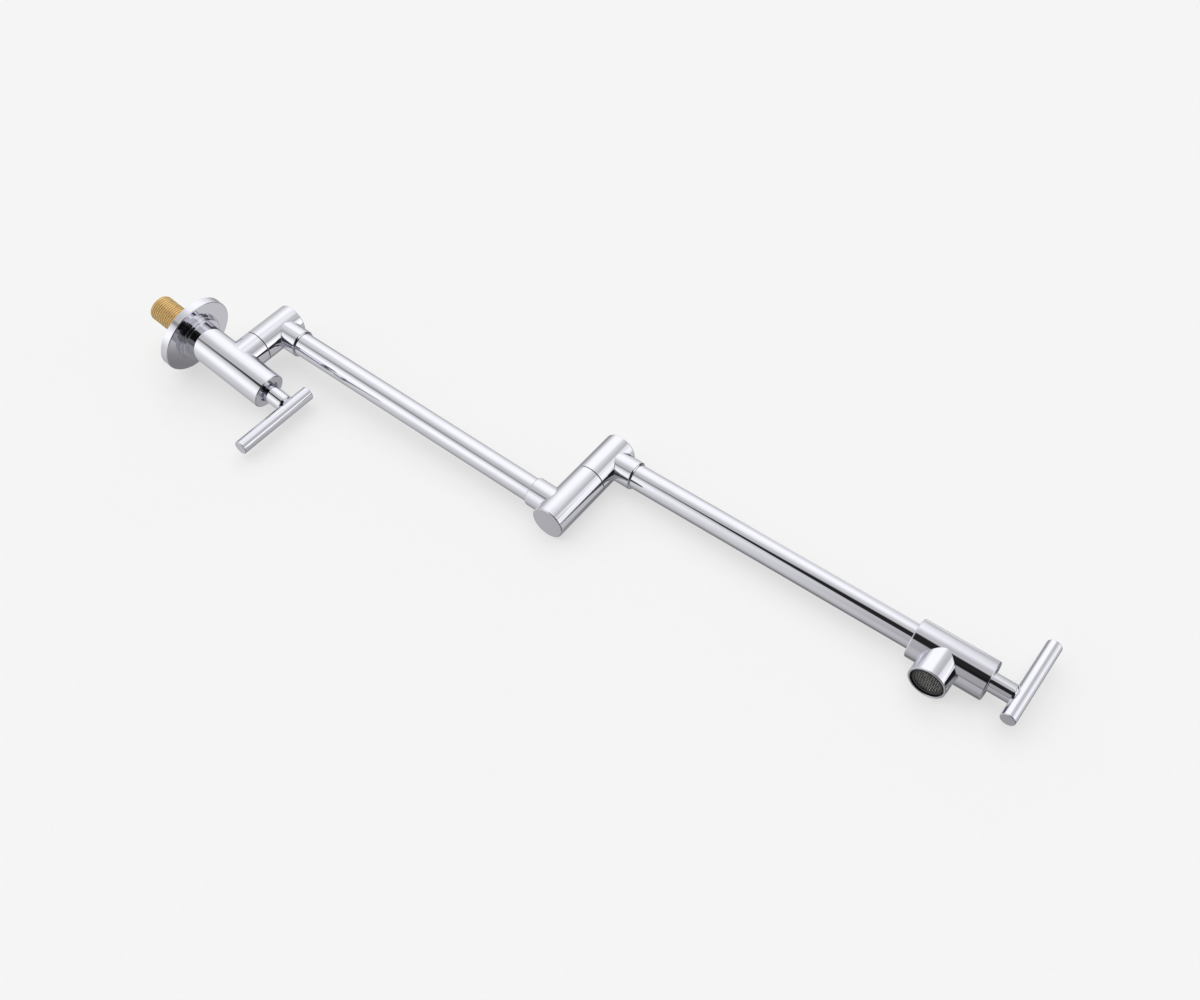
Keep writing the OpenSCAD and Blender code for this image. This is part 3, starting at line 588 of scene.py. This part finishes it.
def middle_lower():
    """Lower half of the middle joint, with a closed bottom and its socket back towards the wall."""
    shell = Shell()
    at = ARM_1.at(0, -ARM_1_SPAN, ARM_1_Z)
    local = at.swapped(1, 3, 2)
    low, high = -MID_DROP, MID_RISE
    ends, around = shell.branch(local, SWIVEL_D / 2, low + BODY_EDGE, high - SEAM_EDGE, SOCKET_D / 2,
                                SOCKET_REACH - SOCKET_EDGE, SOCKET_FILLET)
    bore, wide = SPIGOT_D / 2 + FIX_GAP, MID_BORE_D / 2
    turned = local.swapped(3, 1, 2)
    shell.lathe(turned, [(SWIVEL_D / 2, high - SEAM_EDGE), (SWIVEL_D / 2, high, SEAM_EDGE), (bore, high),
                         (bore, high - SPIGOT_DEPTH), (wide, high - SPIGOT_DEPTH), (wide, low + MID_FLOOR),
                         (0, low + MID_FLOOR)], ends)
    shell.lathe(turned, [(0, low), (SWIVEL_D / 2, low, BODY_EDGE), (SWIVEL_D / 2, low + BODY_EDGE)], ends)
    socket_end(shell, local, around)
    return shell


def spout():
    """Spout body along the arm, with the nozzle downwards and the cavity for its cartridge in front."""
    shell = Shell()
    at = ARM_2.at(0, -ARM_2_SPAN, ARM_2_Z)
    local = at.swapped(1, -2, -3)
    front, back = SPOUT_FRONT, -SPOUT_BACK
    ends, around = shell.branch(local, BODY_D / 2, back + BODY_EDGE, front - BODY_EDGE, NOZZLE_D / 2,
                                NOZZLE_DROP - NOZZLE_EDGE, NOZZLE_FILLET)
    tube = TUBE_D / 2 + FIX_GAP
    deep = [(tube, front - SEAT_DEPTH - SEAT_WALL), (tube, back), (BODY_D / 2, back, BODY_EDGE),
            (BODY_D / 2, back + BODY_EDGE)]
    shell.lathe(local.swapped(3, 1, 2), [(BODY_D / 2, front - BODY_EDGE)] + valve_end(front, deep), ends)
    mouth = NOZZLE_DROP - MOUTH_DEPTH
    shell.lathe(local, [(NOZZLE_D / 2, NOZZLE_DROP - NOZZLE_EDGE), (NOZZLE_D / 2, NOZZLE_DROP, NOZZLE_EDGE),
                        (MOUTH_D / 2, NOZZLE_DROP, RIM_EDGE), (MOUTH_D / 2, mouth), (OUTLET_D / 2, mouth),
                        (OUTLET_D / 2, mouth - OUTLET_DEPTH), (0, mouth - OUTLET_DEPTH)], around)
    return shell


def neck(place):
    """A lever's neck, with a rounded end at the bar and the hole for its screw along x. place looks
    out of the valve."""
    shell = Shell()
    low, high, r = -NECK_INSET, BAR_REACH - NECK_SHORT, NECK_D / 2
    edge, end = low + RIM_EDGE, high - NECK_NOSE
    bore, blind = STEM_END_D / 2 + FIX_GAP, STEM_REACH + FIX_GAP
    # The cylinder's own frame has y along the neck and z towards the screw, which sits at its height 0
    ends = shell.drilled(place.at(0, 0, SCREW_OUT).swapped(2, 3, 1), r, edge - SCREW_OUT, end - SCREW_OUT,
                         SCREW_D / 2 + FIX_GAP, bore + FIX_GAP)
    shell.lathe(place, [(0, blind), (bore, blind), (bore, low), (r, low, RIM_EDGE), (r, edge)], ends)
    shell.lathe(place, [(r, end), (r, high, NECK_NOSE), (TENON_D / 2, high),
                        (TENON_D / 2, BAR_REACH + TENON_PAST), (0, BAR_REACH + TENON_PAST)], ends)
    return shell


def bar(place, up):
    """A lever's bar across its neck, with the long end up or down."""
    axes = (1, -3, 2) if up else (1, 3, -2)
    return ring_of(place.at(0, 0, BAR_REACH).swapped(*axes), [
        (0, -BAR_SHORT), (BAR_D / 2, -BAR_SHORT, BAR_EDGE), (BAR_D / 2, BAR_LONG, BAR_EDGE), (0, BAR_LONG)])


def joint_cap(place, seam):
    """The disc let into the top of a joint's upper half."""
    top, r = seam + HEAD_H, CAP_D / 2 - FIX_GAP
    foot = top - CAP_T + FIX_GAP
    return ring_of(place, [(0, foot), (r, foot), (r, top, RIM_EDGE), (0, top)])


def tube(place, z, low, high):
    """An arm's tube between its two sockets."""
    out, bore = TUBE_D / 2, TUBE_D / 2 - TUBE_WALL
    return ring_of(along(place.at(0, 0, z)),
                   [(bore, low), (out, low), (out, high), (bore, high), (bore, low)])


def aerator_housing(place):
    """The aerator's ring, from its lip to its washer. place looks up from the nozzle's rim."""
    low, lip = AERATOR_INSET, AERATOR_LIP_D / 2
    step, high = low + AERATOR_LIP_H, MOUTH_DEPTH - WASHER_T - 2 * FIX_GAP
    hole, bore, wide = AERATOR_BORE_D / 2 - AERATOR_LEDGE, AERATOR_BORE_D / 2, MOUTH_D / 2 - FIX_GAP
    ledge = low + AERATOR_LEDGE_T
    return ring_of(place, [(bore, high), (bore, ledge), (hole, ledge), (hole, low, LEDGE_EDGE),
                           (lip, low, RIM_EDGE), (lip, step), (wide, step, RIM_EDGE), (wide, high, RIM_EDGE),
                           (bore, high)])


def woven_screen(place):
    """Woven wires in a disc. A wire along u at v = k pitch has its middle at height
    lift cos(pi u / pitch + pi k), so it passes over and under the crossing wires in turn. Its ends
    are closed by shrinking the last ring to a point."""
    shell = Shell()
    # The wires' spacing and radius, the height of their waves in radii, and a wire's sides and steps
    pitch, wire, wave, sides, steps = 1.7, 0.135, 0.65, 6, 6
    r, lift = AERATOR_BORE_D / 2 - FIX_GAP, wire * wave
    middle = AERATOR_INSET + AERATOR_LEDGE_T + FIX_GAP + SCREEN_T / 2
    count = int((r - wire) / pitch)
    around = np.linspace(0, TAU, sides + 1)
    for across in (0, 1):
        for k in range(-count, count + 1):
            v = k * pitch
            half = math.sqrt((r - wire) ** 2 - v * v)
            u = np.linspace(-half, half, int(half * 2 / pitch * steps))
            u = np.r_[u[0], u, u[-1]][:, None]
            thick = np.ones_like(u) * wire
            thick[0] = thick[-1] = 0
            height = lift * np.cos(math.pi * u / pitch + math.pi * (k + across))
            tilt = -lift * math.pi / pitch * np.sin(math.pi * u / pitch + math.pi * (k + across))
            c, s = np.cos(around)[None, :], np.sin(around)[None, :]
            long = np.sqrt(1 + tilt * tilt)
            n = np.stack([-s * tilt / long, c + 0 * u, s / long + 0 * u], -1)
            n[0], n[-1] = (-1, 0, 0), (1, 0, 0)
            p = np.stack([u + 0 * c, v + 0 * u + 0 * c, middle + height + 0 * c], -1) + n * thick[..., None]
            if across:
                n, p = n[..., [1, 0, 2]], p[..., [1, 0, 2]]
            shell.grid(p @ place.axes + place.origin, n @ place.axes)
    return shell


nipple().make("inlet_thread", "wall_body", "brass", BRASS, "inlet_nipple")
flange().make("wall_flange", "wall_body", "chrome", CHROME, "escutcheon")
collar().make("step_collar", "wall_body", "chrome", CHROME, "escutcheon_collar")
valve_body().make("wall_valve_body", "wall_body", "chrome", CHROME, "valve_body")
VALVE_1 = WALL.at(0, 0, BODY_REACH)
VALVE_2 = along(ARM_2.at(0, -ARM_2_SPAN - SPOUT_FRONT, ARM_2_Z))
for number, place, body, up in ((1, VALVE_1, "lever_1", False), (2, VALVE_2, "lever_2", True)):
    neck(place).make(f"lever_neck_{number}", body, "chrome", CHROME, f"handle_neck_{number}")
    bar(place, up).make(f"lever_bar_{number}", body, "chrome", CHROME, f"handle_bar_{number}")
joint_head(ARM_1, SEAM_Z).make("first_joint_elbow", "arm_1", "chrome", CHROME, "elbow_head_1")
joint_head(ARM_2, SEAM_2_Z).make("middle_joint_elbow", "arm_2", "chrome", CHROME, "middle_joint_upper")
for number, place, seam, body in ((1, ARM_1, SEAM_Z, "arm_1"), (2, ARM_2, SEAM_2_Z, "arm_2")):
    joint_cap(place, seam).make(f"joint_cap_{number}", body, "chrome", CHROME, f"head_cap_{number}")
stop = SOCKET_REACH - SOCKET_DEPTH
tube(ARM_1, ARM_1_Z, stop + FIX_GAP, ARM_1_SPAN - stop - FIX_GAP).make(
    "first_arm_tube", "arm_1", "chrome", CHROME, "arm_tube_1")
spout_stop = SEAT_DEPTH + SEAT_WALL - SPOUT_FRONT
tube(ARM_2, ARM_2_Z, stop + FIX_GAP, ARM_2_SPAN - spout_stop - FIX_GAP).make(
    "second_arm_tube", "arm_2", "chrome", CHROME, "arm_tube_2")
middle_lower().make("middle_joint_body", "arm_1", "chrome", CHROME, "middle_joint_lower")
spout().make("spout_and_nozzle", "arm_2", "chrome", CHROME, "spout_body")

NOZZLE = ARM_2.at(0, -ARM_2_SPAN, ARM_2_Z - NOZZLE_DROP)
aerator_housing(NOZZLE).make("aerator_ring", "arm_2", "dark_plastic", DARK_PLASTIC, "aerator_housing")
woven_screen(NOZZLE).make("aerator_mesh", "arm_2", "screen_steel", SCREEN, "aerator_screen")

# CAD nodes that keep their own shape get the finish of their material slot
FINISHES = {"chrome": CHROME, "brass": BRASS, "rubber": RUBBER, "dark_plastic": DARK_PLASTIC,
            "ceramic": CERAMIC, "spring_steel": SPRING, "screen_steel": SCREEN, "plug_plastic": PLUG}
for part in frame["record"]["subparts"]:
    node = frame["nodes"][part["node"]]
    node.data.materials.clear()
    node.data.materials.append(FINISHES[part["material_slot"]])

# Camera fitted to the photograph's edges: place in metres, and right, up and back axes
CAMERA_AT = (-0.857834, -0.545116, -0.418662)
RIGHT = (-0.166582, -0.782211, 0.600330)
UP = (-0.521878, 0.586511, 0.619393)
BACK = (-0.836596, -0.210119, -0.505921)
SENSOR_MM, LENS_MM, NEAREST, FARTHEST = 36.0, 40.1955, 0.05, 20
camera = bpy.data.cameras.new("camera")
camera.sensor_width, camera.lens = SENSOR_MM, LENS_MM
camera.clip_start, camera.clip_end = NEAREST, FARTHEST
eye = bpy.data.objects.new("camera", camera)
bpy.context.scene.collection.objects.link(eye)
eye.matrix_world = Matrix([[RIGHT[i], UP[i], BACK[i], CAMERA_AT[i]] for i in range(3)] + [[0, 0, 0, 1]])
bpy.context.scene.camera = eye

# The part lies on its side on a pale floor, whose upward direction is close to -X
LEAN = math.radians(-10.7)
FLOOR_UP = Vector((-math.cos(LEAN), -math.sin(LEAN), 0))
FLOOR_FRONT = (Vector(BACK) - FLOOR_UP * FLOOR_UP.dot(Vector(BACK))).normalized()
FLOOR_SIDE = FLOOR_UP.cross(FLOOR_FRONT)
FLOOR_DROP, FLOOR_HALF, FLOOR_MIDDLE = 0.031, 3.0, (0, -0.3, 0.05)
PAPER_LIGHT, PAPER_DARK, PAPER_GLOW = (0.25, 0.25, 0.25), (0.23, 0.23, 0.23), 0.61


def pale_floor():
    """Matt paper that glows, as on a light table, so that shadows on it are faint. Its underside is
    clear, so that views from below see the part."""
    f = Finish("pale_floor")
    grain = f.noise(400, 2.0)
    paper = f.node("ShaderNodeAddShader", {},
                   f.node("ShaderNodeBsdfDiffuse", {}, Color=f.mix(grain, PAPER_LIGHT, PAPER_DARK)),
                   f.node("ShaderNodeEmission", {}, (1, 1, 1, 1), PAPER_GLOW))
    clear = f.node("ShaderNodeBsdfTransparent", {})
    under = f.node("ShaderNodeNewGeometry", {}, output="Backfacing")
    shader = f.node("ShaderNodeMixShader", {}, under, paper, clear)
    f.node("ShaderNodeOutputMaterial", {}, shader)
    centre = Vector(FLOOR_MIDDLE)
    centre -= FLOOR_UP * (centre.dot(FLOOR_UP) + FLOOR_DROP)
    corners = [centre + FLOOR_HALF * (a * FLOOR_SIDE + b * FLOOR_FRONT)
               for a, b in ((-1, -1), (-1, 1), (1, 1), (1, -1))]
    mesh = bpy.data.meshes.new("floor")
    mesh.from_pydata([c[:] for c in corners], [], [(0, 1, 2, 3)])
    mesh.materials.append(f.material)
    floor = bpy.data.objects.new("floor", mesh)
    bpy.context.scene.collection.objects.link(floor)
    # The chrome mirrors the studio's own lower half instead, which stands in for the paper
    floor.visible_glossy = False


pale_floor()

# Lights over the floor, as the chrome mirrors them. Azimuth is 0 at the camera and grows to the right
# as the camera sees it. Each row has an azimuth range and its softness, an elevation range and its
# softness, and the tone from 0 to 1 in which polished chrome shows that light. Ranges past 180 go round
# the back, and later rows cover earlier ones.
SOFT_LIGHTS = (
    (150, 206, 11, 12, 63, 15, 0.985),
    (152, 187, 1, 0, 21, 20, 0.90),
    (-87, -52, 11, -4, 36, 18, 0.99),
    (-34, 71, 23, -56, 41, 1, 0.02),
    (85, 153, 2, 59, 77, 10, 0.945),
    (81, 134, 11, -1, 33, 12, 1.03),
    (100, 139, 21, -10, 29, 2, 0.62),
    (31, 71, 1, 13, 40, 1, 0.975),
    (-26, 71, 1, -63, 8, 25, 0.58),
    (149, 161, 1, -33, -13, 9, 1.03),
    (101, 172, 57, -123, -18, 35, 0.55),
    (167, 239, 39, 59, 69, 15, 1.03),
    (-72.5, 50, 1.5, 48.5, 77, 2.5, 0.14),
    (-1, 30, 1, -4, 59, 10, 0.06),
    (178, 207, 8, -33, -2, 1, 0.58),
    (64, 83, 1, -8, 17, 3, 1.05),
    (-44, -35, 1, 36, 51, 4, 0.10),
    (-93, -66, 1, 47, 53, 6, 0.42),
    (90, 102, 1, 35, 42, 3, 0.90),
    (76, 89, 1, 29, 41, 3, 0.67),
    (-79, -70, 6, 70, 78, 1.5, 0.29),
    (-97, -77, 7, -57, -43, 11, 0.72),
    (30, 76, 2, -44, -12, 4, 0.06),
    (8, 56, 5, -12, 14, 6, 0.16),
    (-27, -6, 4, -12, 12, 5, 0.2),
    (97, 107, 1, -60, -50, 0.7, 0.735),
    (97, 105, 1, -65, -60, 0.7, 0.47),
    (106, 114, 1, -65, -59, 0.7, 0.615),
    (-41, -34, 1, -7, 1, 2, 0.5),
    (96, 110, 2, -50, -40, 3, 0.42),
    (110, 142, 4, -58, -49, 3, 0.42),
    (99, 140, 4, -34, 14, 6, 0.3),
)
# One row's lower edge is slanted: it sinks by DARK_SLOPE degrees for each degree right of DARK_FROM
DARK_ROW, DARK_SLOPE, DARK_FROM = 12, 0.386, -60
# A row whose range ends beyond this azimuth is measured from 0 to 360
ROUND_BACK_FROM = 140
# Tones behind the lights: above the floor, under it, and at its deepest, with the elevations between
SKY_TONE, LOW_TONE, DEEP_TONE = 0.725, 0.79, 0.41
DEEP_FROM, DEEP_TO, HORIZON_SOFT = -88.0, -20.5, 6.0
# What chrome sends back of the light it mirrors, and the plain backdrop that the camera sees
CHROME_MIRRORS, BACKDROP = 0.83, (0.9, 0.9, 0.9)


def radiance(tone):
    """What a light has to send out so that the chrome shows it in this tone."""
    return ((tone + 0.055) / 1.055) ** 2.4 / CHROME_MIRRORS


def studio_world():
    """Soft lights over a grey dome. Each one's mask is a product of smooth steps of azimuth and
    elevation. The camera itself sees a plain backdrop instead."""
    world = bpy.data.worlds.new("studio")
    bpy.context.scene.world = world
    sky = Nodes(world)
    toward = sky.node("ShaderNodeTexCoord", {}, output="Generated")
    share = lambda axis: sky.node("ShaderNodeVectorMath", {"operation": "DOT_PRODUCT"}, toward, axis[:],
                                  output="Value")
    rise = share(FLOOR_UP).degrees_of_sine()
    turn = share(FLOOR_SIDE).degrees_over(share(FLOOR_FRONT))
    round_back = turn.whole_turn()
    low, deep, dome = radiance(LOW_TONE), radiance(DEEP_TONE), radiance(SKY_TONE)
    light = deep + (low - deep) * rise.smooth(DEEP_FROM, DEEP_TO)
    light = light + (dome - light) * rise.smooth(-HORIZON_SOFT, HORIZON_SOFT)
    for row, (left, right, soft, bottom, top, fade, tone) in enumerate(SOFT_LIGHTS):
        angle = round_back if right > ROUND_BACK_FROM else turn
        base = rise + (turn - DARK_FROM) * DARK_SLOPE if row == DARK_ROW else rise
        mask = (angle.smooth(left - soft, left + soft) * (1 - angle.smooth(right - soft, right + soft))
                * base.smooth(bottom - fade, bottom + fade) * (1 - rise.smooth(top - fade, top + fade)))
        light = light + (radiance(tone) - light) * mask
    seen = sky.node("ShaderNodeLightPath", {}, output="Is Camera Ray")
    colour = sky.mix(seen, light, BACKDROP)
    back = sky.node("ShaderNodeBackground", {}, colour, 1.0)
    sky.node("ShaderNodeOutputWorld", {}, back)


studio_world()

# A wide soft lamp brings the paper up to nearly white and gives the faint shadow beside the part
LAMP_POWER, LAMP_ANGLE, LAMP_RIGHT, LAMP_FRONT = 2.4, math.radians(100), 0.35, 0.25
lamp_data = bpy.data.lights.new("wide_lamp", "SUN")
lamp_data.energy, lamp_data.angle = LAMP_POWER, LAMP_ANGLE
lamp = bpy.data.objects.new("wide_lamp", lamp_data)
bpy.context.scene.collection.objects.link(lamp)
shine = FLOOR_UP - FLOOR_SIDE * LAMP_RIGHT - FLOOR_FRONT * LAMP_FRONT
lamp.rotation_euler = shine.to_track_quat("Z", "Y").to_euler()
lamp.visible_glossy = False
bpy.context.scene.view_settings.view_transform = "Standard"
